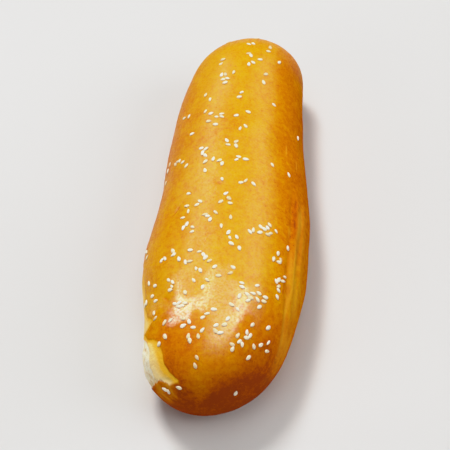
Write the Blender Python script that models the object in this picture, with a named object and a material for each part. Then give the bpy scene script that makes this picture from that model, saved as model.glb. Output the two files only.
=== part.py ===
"""A large seeded hot dog bun: one solid, with its sesame seeds fused to the crust.

The bun lies along Y on its flat base, at Z = 0. Its near end is at -Y, and it is seen from there.
Its left flank, at -X, was torn from a neighbour in the oven, and its right flank has stretch folds.
A place on the surface is given by a share along the length, from -1 at the near tip to 1 at the far
tip, and by a turn round the long axis, in degrees: 0 right, 90 the crown, 180 left, 270 the base.
"""

import math
import random

import bmesh
import bpy
import numpy as np
from mathutils import Matrix, Vector, noise
from mathutils.bvhtree import BVHTree

# Driving dimensions, in metres.
LENGTH = 0.270
HEIGHT = 0.066
MID_WIDTH = 0.0860
AXIS_HEIGHT = 0.42 * HEIGHT
BASE_SINK = 0.004

# The outline. Shares are of half the length. A belly is its height in metres, middle and spread.
WIDTH_ROUNDING = -0.20
HEIGHT_ROUNDING = -0.05
NEAR_CAP = 0.34
FAR_CAP = 0.30
CAP_ROUNDNESS = 2.8
CAP_DROP = 0.92
LEFT_BELLIES = ((0.0087, -0.38, 0.27), (0.0028, -0.87, 0.10), (0.0006, 0.45, 0.22))
RIGHT_BELLIES = ((0.0073, -0.25, 0.57), (0.0008, 0.67, 0.35), (0.0034, 0.92, 0.10))
S_BEND = 0.011
# The tips are drawn at this share, and a belly spreads to its flank where the turn's cosine passes
# from minus to plus this value.
TIP = 0.9999
FLANK_BLEND = 0.3

# Relief: heights, depths and sizes in metres, pitch and places of the folds in degrees of turn.
LUMP_SIZE = 0.034
LUMP_HEIGHT = 0.0011
FOLD_HEIGHT = 0.0005
FOLD_PITCH = 12.0
FOLD_TURN = 31.0
FOLD_REACH = 13.0
FOLD_SPAN = (-0.92, 0.08)
FOLD_FADE = 0.20
FOLD_WANDER = 0.6
FOLD_WANDER_RATE = 5.0
CRUMB_DEPTH = 0.0008
CRUMB_ROUGHNESS = 0.0006
CRUMB_GRAIN = 0.0085
SKIN_DEPTH = 0.0006
# The folds come down by so many degrees, between these shares.
FOLD_FALL = 24.0
FOLD_FALL_SHARES = (-0.35, -0.95)
# Over these lengths the relief fades out, towards the tips and towards the base.
TIP_FADE = 0.0040
BASE_FADE = 0.0060
# Dimples: share along, turn, radius and depth.
DIMPLES = (
    (-0.62, 128, 0.0070, 0.0008),
    (-0.17, 131, 0.0055, 0.0008),
    (0.22, 48, 0.0090, 0.0010),
    (-0.36, 172, 0.0060, 0.0009),
)

# The torn side at stations along the length: share, the turn where the crust ends, and the turns
# between which the pale crumb is bare. Thin baked skin lies between crust and crumb.
TEAR = (
    (-0.948, 117, 137, 137),
    (-0.940, 121, 142, 142),
    (-0.930, 124, 145, 148),
    (-0.924, 126, 156, 168),
    (-0.912, 127, 155, 183),
    (-0.895, 129, 152, 190),
    (-0.860, 130, 149, 200),
    (-0.830, 132, 147, 208),
    (-0.800, 135, 148, 211),
    (-0.782, 142, 151, 212),
    (-0.765, 151, 154, 212),
    (-0.740, 157, 161, 212),
    (-0.724, 161, 167, 212),
    (-0.712, 151, 171, 212),
    (-0.690, 144, 172, 210),
    (-0.650, 154, 172, 207),
    (-0.600, 160, 174, 205),
    (-0.540, 158, 177, 202),
    (-0.470, 158, 180, 199),
    (-0.400, 161, 182, 196),
    (-0.350, 169, 184, 193),
    (-0.310, 178, 186, 190),
)
TEAR_EDGE = 5.0
TEAR_FADE = 0.012
RAGGED_TURN = 2.5
RAGGED_SIZE = 0.008

# One sesame seed, in metres. A belt is its girth as a share of full, and its height as a share of
# the thickness; SEED_SUNK is the share of the thickness that lies in the crust.
SEED_LENGTH = 0.0036
SEED_WIDTH = 0.0023
SEED_THICKNESS = 0.0012
SEED_SIDES = 6
SEED_BELTS = ((0.66, 0.34), (1.10, -0.18))
SEED_POINT = 0.40
SEED_SUNK = 0.40

# The seeds' spread. How thickly they lie is given at shares along the bun and at turns round it.
SEED_COUNT = 220
FUSED_SEEDS = 190
SEED_SPACING = 0.0021
SEEDS_ALONG = (
    (-0.985, 0.25),
    (-0.85, 0.42),
    (-0.65, 0.80),
    (-0.45, 1.00),
    (-0.35, 0.58),
    (-0.15, 0.36),
    (0.25, 0.29),
    (0.50, 0.20),
    (0.65, 0.12),
    (0.80, 0.28),
    (0.985, 0.08),
)
SEEDS_ROUND = (
    (-8, 0.00),
    (10, 0.12),
    (25, 0.30),
    (42, 0.65),
    (60, 0.65),
    (78, 1.00),
    (90, 0.95),
    (112, 0.95),
    (130, 0.58),
    (148, 0.32),
    (165, 0.06),
    (175, 0.00),
)
# None lie where the weight is less than this. On the stretched flank they thin out and end, from the
# first of these to the second: in degrees across the folds, and in shares along.
LEAST_WEIGHT = 0.02
BARE_ACROSS = (24, -1)
BARE_SHARES = (0.30, 0.10)
# A seed may bring others beside it: so many, within these shares and turns of it.
GROUP_EXTRAS = (0, 0, 0, 1, 1, 2, 3)
GROUP_SHARE = 0.022
GROUP_TURN = 4.0
SEED_SIZE_SPREAD = 0.07
SEED_DRAW = 1222

# Mesh of the crust: rings along it, and columns round it as the turns that they lie between and
# their number. The columns are closest over the folds and the tear, and two follow the base's edge.
RINGS = 60
COLUMNS = ((-28, 8, 4), (8, 56, 13), (56, 118, 6), (118, 216, 17), (216, 332, 8))
UNDERSIDE = (216.0, 245.0, 303.0, 332.0)

CRUST_COLOUR = (0.62, 0.28, 0.02, 1.0)
CRUST_ROUGHNESS = 0.38


def smooth(edge_0, edge_1, value):
    """0 before edge_0, 1 after edge_1, smooth between."""
    x = np.clip((value - edge_0) / (edge_1 - edge_0), 0.0, 1.0)
    return x * x * (3.0 - 2.0 * x)


def swell(share, bellies):
    """How far one side stands out, in metres."""
    return sum(
        height * np.exp(-(((share - middle) / spread) ** 2)) for height, middle, spread in bellies
    )


def cap(share):
    """How far the section shrinks towards the rounded ends: 1 along the body, 0 at the tips."""
    reach = np.where(share < 0, NEAR_CAP, FAR_CAP)
    into = np.clip((np.abs(share) - 1.0 + reach) / reach, 0.0, 1.0)
    return np.sqrt(1.0 - into**CAP_ROUNDNESS)


def body(share, turn):
    """The smooth bun: points for arrays of shares along it and turns round it."""
    cosine = np.cos(np.radians(turn))
    sine = np.sin(np.radians(turn))
    shrink = cap(share)
    half_width = MID_WIDTH / 2 * (1 + WIDTH_ROUNDING * share**2)
    rightness = smooth(-FLANK_BLEND, FLANK_BLEND, cosine)
    half_width = half_width + (1.0 - rightness) * swell(share, LEFT_BELLIES)
    half_width = half_width + rightness * swell(share, RIGHT_BELLIES)
    above = (HEIGHT - AXIS_HEIGHT) * (1 + HEIGHT_ROUNDING * share**2)
    reach = np.where(sine > 0, above, AXIS_HEIGHT + BASE_SINK)
    x = S_BEND * (share**3 - 0.6 * share) + half_width * shrink * cosine
    y = LENGTH / 2 * share
    z = AXIS_HEIGHT + reach * shrink**CAP_DROP * sine
    return np.stack([x, y, z], axis=-1)


def base_edge(share):
    """The turn, past 180, at which the smooth bun comes down to its base."""
    depth = (AXIS_HEIGHT + BASE_SINK) * np.maximum(cap(share), 0.01) ** CAP_DROP
    return 180.0 + np.degrees(np.arcsin(np.clip(AXIS_HEIGHT / depth, 0.0, 0.995)))


def outward(share, turn):
    """Unit normals of the smooth bun, by differences along and round it."""
    inside = np.clip(share, -0.999, 0.999)
    along = body(inside + 0.001, turn) - body(inside - 0.001, turn)
    around = body(inside, turn + 0.2) - body(inside, turn - 0.2)
    normal = np.cross(along, around)
    return normal / np.linalg.norm(normal, axis=-1, keepdims=True)


def lumps(points, size, draw):
    """Smooth noise from -1 to 1 at the points, with features of that size in metres."""
    shift = Vector((11.3 * draw, 5.7 * draw, 2.9 * draw))
    flat = points.reshape(-1, 3)
    values = [noise.noise(Vector(p) / size + shift) for p in flat]
    return np.array(values).reshape(points.shape[:-1])


def tear_masks(share, turn, points):
    """Shares of bare crumb and of thin skin, from 0 to 1, with ragged edges."""
    stations = np.array(TEAR, float)
    ragged = turn + RAGGED_TURN * lumps(points, RAGGED_SIZE, 3)
    crust_end, crumb_top, crumb_low = (
        np.interp(share, stations[:, 0], stations[:, column]) for column in (1, 2, 3)
    )
    near, far = stations[0, 0], stations[-1, 0]
    ended = smooth(near - TEAR_FADE, near, share) * smooth(far + TEAR_FADE, far, share)
    crumb = smooth(crumb_top, crumb_top + TEAR_EDGE, ragged)
    crumb = crumb * smooth(crumb_low + TEAR_EDGE, crumb_low, ragged) * ended
    skin = smooth(crust_end - TEAR_EDGE / 2, crust_end + TEAR_EDGE / 2, ragged)
    skin = skin * smooth(crumb_low + TEAR_EDGE, crumb_low, ragged) * ended
    return crumb, np.clip(skin - crumb, 0.0, 1.0)


def across_folds(share, turn):
    """Degrees of turn from the middle of the right flank's folds, which come down at the near end."""
    return turn - FOLD_TURN + FOLD_FALL * smooth(*FOLD_FALL_SHARES, share)


def folds(share, turn):
    """The stretch folds of the right flank: long low ridges, fading out at their ends."""
    across = across_folds(share, turn)
    band = smooth(-FOLD_REACH, -FOLD_REACH / 2, across) * smooth(FOLD_REACH, FOLD_REACH / 2, across)
    start, end = FOLD_SPAN
    span = smooth(start, start + FOLD_FADE, share) * smooth(end, end - FOLD_FADE, share)
    wander = FOLD_WANDER * np.sin(FOLD_WANDER_RATE * share)
    return band * span * np.cos(2 * math.pi * across / FOLD_PITCH + wander)


def surface(share, turn):
    """Points of the finished crust: the smooth bun with its relief, cut off flat at the base."""
    points = body(share, turn)
    crumb, skin = tear_masks(share, turn, points)
    relief = LUMP_HEIGHT * lumps(points, LUMP_SIZE, 1)
    relief = relief + FOLD_HEIGHT * folds(share, turn)
    relief = relief - SKIN_DEPTH * skin - CRUMB_DEPTH * crumb
    relief = relief + CRUMB_ROUGHNESS * crumb * lumps(points, CRUMB_GRAIN, 2)
    for middle, heading, radius, depth in DIMPLES:
        centre = body(np.array(middle), np.array(float(heading)))
        away = np.linalg.norm(points - centre, axis=-1)
        relief = relief - depth * np.exp(-((away / radius) ** 2))
    relief = relief * smooth(0.0, TIP_FADE, LENGTH / 2 * (1.0 - np.abs(share)))
    relief = relief * smooth(0.0, BASE_FADE, points[..., 2])
    points = points + relief[..., None] * outward(share, turn)
    points[..., 2] = np.maximum(points[..., 2], 0.0)
    return points


def seed_weight(share, turn):
    """How thickly the seeds lie there, from 0 to 1."""
    weight = np.interp(share, *zip(*SEEDS_ALONG)) * np.interp(turn, *zip(*SEEDS_ROUND))
    bare = smooth(*BARE_ACROSS, across_folds(share, turn)) * smooth(*BARE_SHARES, share)
    return weight * (1.0 - bare)


def seed_places():
    """Every seed as (share, turn, heading, size), drawn at random, singly and in small groups."""
    draw = random.Random(SEED_DRAW)
    places = []
    spots = []
    near, far = SEEDS_ALONG[0][0], SEEDS_ALONG[-1][0]
    low, high = SEEDS_ROUND[0][0], SEEDS_ROUND[-1][0]

    def settle(share, turn):
        """Adds a seed there, if the crust is whole and free."""
        if not (near < share < far and low < turn < high):
            return
        if seed_weight(share, turn) < LEAST_WEIGHT:
            return
        spot = Vector(body(np.array(share), np.array(turn)))
        if any((spot - other).length < SEED_SPACING for other in spots):
            return
        crumb, skin = tear_masks(np.array(share), np.array(turn), np.array(spot))
        if crumb + skin > 0.2:
            return
        spots.append(spot)
        places.append((share, turn, draw.uniform(0.0, 360.0), draw.gauss(1.0, SEED_SIZE_SPREAD)))

    while len(places) < SEED_COUNT:
        share = draw.uniform(near, far)
        turn = draw.uniform(low, high)
        if draw.random() > seed_weight(share, turn):
            continue
        settle(share, turn)
        for _ in range(draw.choice(GROUP_EXTRAS)):
            settle(share + draw.gauss(0.0, GROUP_SHARE), turn + draw.gauss(0.0, GROUP_TURN))
    return places


def seed_mesh():
    """One sesame seed: a flat drop, blunt at -X and pointed at +X, with its belt just below middle."""
    form = bmesh.new()
    top = form.verts.new((0.0, 0.0, SEED_THICKNESS / 2))
    foot = form.verts.new((0.0, 0.0, -SEED_THICKNESS / 2))
    loops = []
    for girth, height in SEED_BELTS:
        loop = []
        for k in range(SEED_SIDES):
            angle = 2 * math.pi * (k + 0.5) / SEED_SIDES
            slim = 1.0 - SEED_POINT * (0.5 + 0.5 * math.cos(angle)) ** 2
            x = SEED_LENGTH / 2 * girth * math.cos(angle)
            y = SEED_WIDTH / 2 * girth * slim * math.sin(angle)
            loop.append(form.verts.new((x, y, SEED_THICKNESS * height)))
        loops.append(loop)
    upper, lower = loops
    for k in range(SEED_SIDES):
        after = (k + 1) % SEED_SIDES
        form.faces.new((top, upper[k], upper[after]))
        form.faces.new((upper[k], lower[k], lower[after], upper[after]))
        form.faces.new((foot, lower[after], lower[k]))
    bmesh.ops.recalc_face_normals(form, faces=form.faces)
    mesh = bpy.data.meshes.new("seed")
    form.to_mesh(mesh)
    form.free()
    return mesh


def seed_matrix(crust, share, turn, heading, size):
    """Where a seed lies: flat on the crust's nearest facet, sunk by part of its thickness."""
    above = surface(np.array([share]), np.array([turn]))[0]
    centre, up, _, _ = crust.find_nearest(Vector(above))
    lift = (0.5 - SEED_SUNK) * SEED_THICKNESS * size
    turned = up.to_track_quat("Z", "Y").to_matrix().to_4x4()
    spin = Matrix.Rotation(math.radians(heading), 4, "Z")
    return Matrix.Translation(centre + up * lift) @ turned @ spin @ Matrix.Scale(size, 4)


def grid():
    """Shares and turns of the crust's points, ring by ring, with two columns on the base's edge."""
    shares = -np.cos(np.linspace(0.0, math.pi, RINGS + 1))[1:-1]
    turns = np.concatenate([np.linspace(*span, endpoint=False) for span in COLUMNS])
    share, turn = np.meshgrid(shares, turns, indexing="ij")
    left, left_edge, right_edge, right = UNDERSIDE
    for row, edge in enumerate(base_edge(shares)):
        nominal = (turns[0], left, left_edge, right_edge, right)
        turn[row] = np.interp(turns, nominal, (turns[0], left, edge, 540.0 - edge, right))
    return share, turn


def crust_mesh():
    """The crust as rings from tip to tip, with its flat base as one face."""
    rings = surface(*grid())
    tips = surface(np.array([-TIP, TIP]), np.array([90.0, 90.0]))
    form = bmesh.new()
    loops = [[form.verts.new(point) for point in ring] for ring in rings]
    sides = len(loops[0])
    for first, second in zip(loops, loops[1:]):
        for k in range(sides):
            after = (k + 1) % sides
            form.faces.new((first[k], first[after], second[after], second[k]))
    for tip, loop in zip(tips, (loops[0], loops[-1])):
        point = form.verts.new(tip)
        for k in range(sides):
            form.faces.new((point, loop[k], loop[(k + 1) % sides]))
    bmesh.ops.recalc_face_normals(form, faces=form.faces)
    flat = [edge for edge in form.edges if all(v.co.z < 1e-6 for v in edge.verts)]
    bmesh.ops.dissolve_limit(
        form, angle_limit=math.radians(0.1), verts=[], edges=flat, use_dissolve_boundaries=False
    )
    mesh = bpy.data.meshes.new("bun")
    form.to_mesh(mesh)
    form.free()
    return mesh


def crust_material():
    material = bpy.data.materials.new("baked_crust")
    material.use_nodes = True
    shader = material.node_tree.nodes["Principled BSDF"]
    shader.inputs["Base Color"].default_value = CRUST_COLOUR
    shader.inputs["Roughness"].default_value = CRUST_ROUGHNESS
    shader.inputs["Metallic"].default_value = 0.0
    return material


def fuse_seeds(bun):
    """Joins the largest seeds to the bun by one Boolean union, and removes the loose ones."""
    loose = bpy.data.collections.new("seeds")
    bpy.context.scene.collection.children.link(loose)
    shape = seed_mesh()
    crust = BVHTree.FromPolygons(
        [vertex.co for vertex in bun.data.vertices],
        [face.vertices for face in bun.data.polygons],
    )
    largest = sorted(seed_places(), key=lambda place: -place[3])[:FUSED_SEEDS]
    for place in largest:
        seed = bpy.data.objects.new("seed", shape)
        seed.matrix_world = seed_matrix(crust, *place)
        loose.objects.link(seed)
    union = bun.modifiers.new("seeds", "BOOLEAN")
    union.operation = "UNION"
    union.operand_type = "COLLECTION"
    union.collection = loose
    union.solver = "MANIFOLD"
    bpy.context.view_layer.update()
    bpy.context.view_layer.objects.active = bun
    bpy.ops.object.modifier_apply(modifier=union.name)
    for seed in list(loose.objects):
        bpy.data.objects.remove(seed)
    bpy.data.collections.remove(loose)


def rest_on_origin(bun):
    """Puts the middle of the base's bounding box at the origin."""
    corners = [Vector(corner) for corner in bun.bound_box]
    low = Vector(map(min, *corners))
    high = Vector(map(max, *corners))
    middle = (low + high) / 2
    bun.data.transform(Matrix.Translation((-middle.x, -middle.y, -low.z)))


def main():
    for old in list(bpy.data.objects):
        bpy.data.objects.remove(old)
    bun = bpy.data.objects.new("bun", crust_mesh())
    bpy.context.scene.collection.objects.link(bun)
    bun.data.materials.append(crust_material())
    fuse_seeds(bun)
    rest_on_origin(bun)
    bun.data.shade_smooth()
    bun.data.set_sharp_from_angle(angle=math.radians(35))


main()
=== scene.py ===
"""The looks of a large seeded hot dog bun: its baked crust, its torn side and its sesame seeds.

The crust is made again from the part's own formulas, with far more points and with the fine
relief that the part leaves out. A place on it is given by a share along the length, from -1 at
the near tip to 1 at the far tip, and by a turn round the long axis, in degrees: 0 right,
90 the crown, 180 left, 270 the base. Lengths are in metres.
"""

import math
import random

import bpy
import numpy as np
from mathutils import Euler, Matrix, Vector, noise
from mathutils.bvhtree import BVHTree


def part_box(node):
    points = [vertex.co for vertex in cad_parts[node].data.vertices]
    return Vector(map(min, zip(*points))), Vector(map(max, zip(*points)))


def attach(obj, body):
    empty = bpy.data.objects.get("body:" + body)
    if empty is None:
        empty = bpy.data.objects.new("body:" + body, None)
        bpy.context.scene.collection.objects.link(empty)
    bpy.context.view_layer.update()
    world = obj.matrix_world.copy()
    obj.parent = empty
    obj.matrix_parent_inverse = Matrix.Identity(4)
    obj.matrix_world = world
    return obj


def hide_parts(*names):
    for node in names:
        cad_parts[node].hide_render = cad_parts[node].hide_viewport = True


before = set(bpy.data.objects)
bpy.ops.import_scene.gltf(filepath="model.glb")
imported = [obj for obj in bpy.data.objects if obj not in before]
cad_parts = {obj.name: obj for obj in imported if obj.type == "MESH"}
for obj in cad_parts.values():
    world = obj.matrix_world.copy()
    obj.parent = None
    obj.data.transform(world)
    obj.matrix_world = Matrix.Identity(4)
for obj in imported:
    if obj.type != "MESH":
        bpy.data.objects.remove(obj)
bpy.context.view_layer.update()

# The part's form, as its own source states it. Here is its outline: shares are of half the length,
# and a belly is its height, middle and spread.
LENGTH = 0.270
HEIGHT = 0.066
MID_WIDTH = 0.0860
AXIS_HEIGHT = 0.42 * HEIGHT
BASE_SINK = 0.004
WIDTH_ROUNDING = -0.20
HEIGHT_ROUNDING = -0.05
NEAR_CAP = 0.34
FAR_CAP = 0.30
CAP_ROUNDNESS = 2.8
CAP_DROP = 0.92
LEFT_BELLIES = ((0.0087, -0.38, 0.27), (0.0028, -0.87, 0.10), (0.0006, 0.45, 0.22))
RIGHT_BELLIES = ((0.0073, -0.25, 0.57), (0.0008, 0.67, 0.35), (0.0034, 0.92, 0.10))
S_BEND = 0.011
S_BEND_RETURN = 0.6
# The tips are drawn at this share, and a belly spreads to its flank where the turn's cosine passes
# from minus to plus this value.
TIP = 0.9999
FLANK_BLEND = 0.3
# Turn of the base, limits that keep its edge's turn sound at the tips, and the steps in share and
# turn from which normals are taken.
BASE_TURN = 270.0
LEAST_CAP = 0.01
GREATEST_SINE = 0.995
SHARE_STEP = 0.001
TURN_STEP = 0.2

# Its relief: heights, depths and sizes, and pitch and places of the folds in degrees of turn.
LUMP_SIZE = 0.034
LUMP_HEIGHT = 0.0011
FOLD_HEIGHT = 0.0005
FOLD_PITCH = 12.0
FOLD_TURN = 31.0
FOLD_REACH = 13.0
FOLD_SPAN = (-0.92, 0.08)
FOLD_FADE = 0.20
FOLD_WANDER = 0.6
FOLD_WANDER_RATE = 5.0
CRUMB_DEPTH = 0.0008
CRUMB_ROUGHNESS = 0.0006
CRUMB_GRAIN = 0.0085
SKIN_DEPTH = 0.0006
# The folds come down by so many degrees, between these shares.
FOLD_FALL = 24.0
FOLD_FALL_SHARES = (-0.35, -0.95)
# Over these lengths the relief fades out, towards the tips and towards the base.
TIP_FADE = 0.0040
BASE_FADE = 0.0060
# Dimples: share along, turn, radius and depth.
DIMPLES = (
    (-0.62, 128, 0.0070, 0.0008),
    (-0.17, 131, 0.0055, 0.0008),
    (0.22, 48, 0.0090, 0.0010),
    (-0.36, 172, 0.0060, 0.0009),
)

# The torn side at stations along the length: share, the turn where the crust ends, and the turns
# between which the pale crumb is bare. Thin baked skin lies between crust and crumb.
TEAR = (
    (-0.948, 117, 137, 137),
    (-0.940, 121, 142, 142),
    (-0.930, 124, 145, 148),
    (-0.924, 126, 156, 168),
    (-0.912, 127, 155, 183),
    (-0.895, 129, 152, 190),
    (-0.860, 130, 149, 200),
    (-0.830, 132, 147, 208),
    (-0.800, 135, 148, 211),
    (-0.782, 142, 151, 212),
    (-0.765, 151, 154, 212),
    (-0.740, 157, 161, 212),
    (-0.724, 161, 167, 212),
    (-0.712, 151, 171, 212),
    (-0.690, 144, 172, 210),
    (-0.650, 154, 172, 207),
    (-0.600, 160, 174, 205),
    (-0.540, 158, 177, 202),
    (-0.470, 158, 180, 199),
    (-0.400, 161, 182, 196),
    (-0.350, 169, 184, 193),
    (-0.310, 178, 186, 190),
)
TEAR_EDGE = 5.0
TEAR_FADE = 0.012
RAGGED_TURN = 2.5
RAGGED_SIZE = 0.008

# One sesame seed; SEED_SUNK is the share of its thickness that lies in the crust.
SEED_LENGTH = 0.0036
SEED_WIDTH = 0.0023
SEED_THICKNESS = 0.0012
SEED_POINT = 0.40
SEED_SUNK = 0.40

# The seeds' spread. How thickly they lie is given at shares along the bun and at turns round it.
SEED_COUNT = 220
SEED_SPACING = 0.0021
SEEDS_ALONG = (
    (-0.985, 0.25),
    (-0.85, 0.42),
    (-0.65, 0.80),
    (-0.45, 1.00),
    (-0.35, 0.58),
    (-0.15, 0.36),
    (0.25, 0.29),
    (0.50, 0.20),
    (0.65, 0.12),
    (0.80, 0.28),
    (0.985, 0.08),
)
SEEDS_ROUND = (
    (-8, 0.00),
    (10, 0.12),
    (25, 0.30),
    (42, 0.65),
    (60, 0.65),
    (78, 1.00),
    (90, 0.95),
    (112, 0.95),
    (130, 0.58),
    (148, 0.32),
    (165, 0.06),
    (175, 0.00),
)
# None lie where the weight is less than this, or where the crust is torn by more than this. On the
# stretched flank they thin out and end, from the first to the second of these: in degrees across
# the folds, and in shares along.
LEAST_WEIGHT = 0.02
MOST_TORN = 0.2
BARE_ACROSS = (24, -1)
BARE_SHARES = (0.30, 0.10)
# A seed may bring others beside it: so many, within these shares and turns of it.
GROUP_EXTRAS = (0, 0, 0, 1, 1, 2, 3)
GROUP_SHARE = 0.022
GROUP_TURN = 4.0
SEED_SIZE_SPREAD = 0.07
SEED_DRAW = 1222

# The fine mesh: the number of steps along it, which grow shorter over this share of them at each
# tip, and columns round it as the turns that they lie between and their number. Under the bun, the
# columns between the first and last of these turns are moved so that two follow the base's edge.
RINGS = 440
TIP_RINGS = 0.12
TIP_CROWDING = 0.8
COLUMNS = ((-28, 62, 68), (62, 118, 44), (118, 216, 88), (216, 332, 24))
UNDERSIDE = (216.0, 245.0, 303.0, 332.0)
# One degree of turn on the crust is about this long.
DEGREE = 0.00078

# Fine relief of the whole crust: size and height.
PEEL = ((0.0130, 0.00018), (0.0060, 0.00006), (0.0026, 0.00005))
# The right flank's fine wrinkles, between its folds: pitch, height, and how far they run on.
STRAND_PITCH = 2.6
STRAND_HEIGHT = 0.00012
STRAND_RUN = 0.07
# Marks: share, turn, half length, half width, tilt off the bun's length in degrees, height.
# The creases are sunk in the relief, and their colour is darkened with painted shade.
CREASES = (
    (-0.17, 127, 0.0036, 0.0008, -35, -0.0006),
    (-0.615, 128, 0.0026, 0.0012, 50, -0.0004),
    (-0.055, 33, 0.0030, 0.0008, -6, -0.0007),
    (-0.17, 34, 0.0050, 0.0009, 4, -0.0003),
    (-0.51, 37, 0.0040, 0.0007, 8, -0.0003),
    (0.45, 84, 0.0014, 0.0008, 0, -0.0005),
    (-0.05, 94, 0.0014, 0.0026, 0, -0.0002),
)
SHREDS = (
    (0.23, 41, 0.0040, 0.0005, 0, 0.00006),
    (0.18, 29, 0.0045, 0.0005, 4, 0.00006),
    (-0.15, 28, 0.0085, 0.0019, -6, 0.00022),
    (-0.22, 39, 0.0032, 0.0007, 0, 0.00022),
    (-0.34, 31, 0.0090, 0.0008, 4, 0.00012),
    (-0.40, 34, 0.0110, 0.0016, 6, 0.00016),
    (-0.46, 29, 0.0100, 0.0009, 4, 0.00012),
    (-0.56, 29, 0.0110, 0.0014, 12, 0.00010),
    (-0.71, 20, 0.0120, 0.0020, 22, 0.00008),
)
# Wrinkles in rings round a dimple: share, turn, ring pitch, reach and height.
RINGED_DIMPLE = (0.22, 60, 0.0026, 0.0075, 0.00010)

# The tear: raised lip of the crust, strands in the skin, weaker in the crumb, and pores in the
# crumb as size and depth.
LIP_HEIGHT = 0.00006
LIP_TURN = 3.0
SKIN_STRAND_PITCH = 5.0
SKIN_STRAND_RUN = 0.07
SKIN_STRAND_HEIGHT = 0.00025
CRUMB_STRANDS = 0.5
PORES = ((0.0036, 0.00060), (0.0017, 0.00044))

# Each kind of unevenness picks noise of its own, by moving it so far for each step of the pick.
NOISE_SHIFT = (11.3, 5.7, 2.9)
LUMP_NOISE = 1
CRUMB_NOISE = 2
RAGGED_NOISE = 3
FOLD_NOISE = 4
SKIN_NOISE = 6
SHADE_NOISE = 8
FOOT_NOISE = 9
PEEL_NOISE = 11
PORE_NOISE = 21
BROWN_NOISE = 31
GLAZE_NOISE = 33

# Soft-edged areas of the crust are products of fades and bands. A fade is 0 at its first number
# and 1 at its second, and a band is 1 at its first and falls off over its second to both sides.
# They run along "share"; "turn", which the columns count from -28 to 332; "side", the same turn
# counted from -90, at the base, to 270; "height", as a share of the bun's; "across", degrees from
# the middle of the right flank's folds; and "past", degrees past the crust's torn edge.
# The first are the right flank's stretched flap, the painted shade in the long crease beside it,
# and the thin crust at the near foot of the tear.
STRETCHED = (("fade", "share", -0.90, -0.74), ("fade", "share", 0.02, -0.12))
FLAP = (("fade", "across", 3.0, -1.0), ("fade", "across", -18.0, -8.0), *STRETCHED)
FLAP_SHADE = (("band", "across", 5.0, 2.2), *STRETCHED, ("fade", "share", -0.18, -0.30))
TORN_FOOT = (
    ("fade", "share", -0.900, -0.945),
    ("fade", "share", -0.998, -0.970),
    ("fade", "turn", 124, 142),
    ("fade", "turn", 205, 170),
)
BEFORE_FAR_END = ("fade", "share", 0.96, 0.78)
RIGHT_FLANK = (("fade", "side", 72, 30), ("fade", "side", -88, -45), BEFORE_FAR_END)

# How brown the crust is: an even level, areas that add to it or take from it, and blotches, as
# their size and strength.
BROWN_LEVEL = 0.44
BROWN_AREAS = (
    # The crown.
    (-0.03, ("band", "turn", 90, 28)),
    # The right flank, less so in its near half: partly a browner crust, partly painted shade.
    (0.275, *RIGHT_FLANK),
    (-0.12, *RIGHT_FLANK, ("fade", "share", -0.20, -0.55), ("fade", "share", -0.88, -0.72)),
    # The left flank beyond the tear.
    (
        0.18,
        ("fade", "turn", 108, 160),
        ("fade", "turn", 268, 225),
        ("fade", "share", -0.45, -0.15),
        BEFORE_FAR_END,
    ),
    # The underside, the far end and its tip; the far half is a little lighter.
    (0.20, ("fade", "turn", 225, 268), ("fade", "turn", 315, 272), BEFORE_FAR_END),
    (0.14, ("fade", "share", 0.78, 0.96)),
    (0.04, ("fade", "share", 0.92, 1.00)),
    (-0.04, ("fade", "share", 0.1, 0.7)),
    # Low down all round.
    (0.09, ("fade", "height", 0.55, 0.15)),
    # Towards the near end: more off the crown, less on the right, and less on the left but for
    # the near face.
    (0.08, ("fade", "share", -0.54, -0.68)),
    (-0.08, ("fade", "share", -0.54, -0.68), ("band", "turn", 88, 17)),
    (0.22, ("fade", "share", -0.56, -0.92)),
    (-0.077, ("fade", "share", -0.56, -0.92), ("fade", "turn", 92, 62)),
    # Lighter on the left of the near end: partly a lighter crust, partly painted light where that side
    # lies in shade.
    (
        -0.10,
        ("fade", "turn", 122, 140),
        ("fade", "share", -0.52, -0.64),
        ("fade", "share", -0.90, -0.80),
    ),
    # The near face, below its crest.
    (0.31, ("fade", "share", -0.80, -0.96), ("fade", "height", 0.93, 0.45)),
    # Above the near face: a golden streak, a browner one left of it, and a lighter one right of it.
    (
        -0.16,
        ("band", "turn", 77, 11),
        ("fade", "share", -0.64, -0.74),
        ("fade", "share", -0.90, -0.80),
    ),
    (
        0.09,
        ("band", "turn", 101, 10),
        ("fade", "share", -0.67, -0.76),
        ("fade", "share", -0.90, -0.83),
    ),
    (
        -0.07,
        ("fade", "turn", 24, 36),
        ("fade", "turn", 72, 60),
        ("fade", "share", -0.74, -0.82),
        ("fade", "share", -0.95, -0.89),
    ),
    # The thin crust at the near foot of the tear.
    (-0.24, *TORN_FOOT),
)
BROWN_BLOTCHES = ((0.045, 0.07), (0.016, 0.05))

# Fibres in the stretched crust: an even part, how much the fibres add to it, the least that they
# count for, their pitch in degrees, how far they run on, and their noise.
FLAP_FIBRES = (0.45, 0.50, -0.5, 4.5, 0.06, FOLD_NOISE)
# Fibres that break up the painted shade beside the flap.
SHADE_FIBRES = (0.45, 0.90, -0.5, 9.0, 0.12, SHADE_NOISE)
FOOT_FIBRES = (0.20, 0.80, -0.3, 9.0, 0.03, FOOT_NOISE)
SHRED_PALENESS = 0.9

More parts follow.
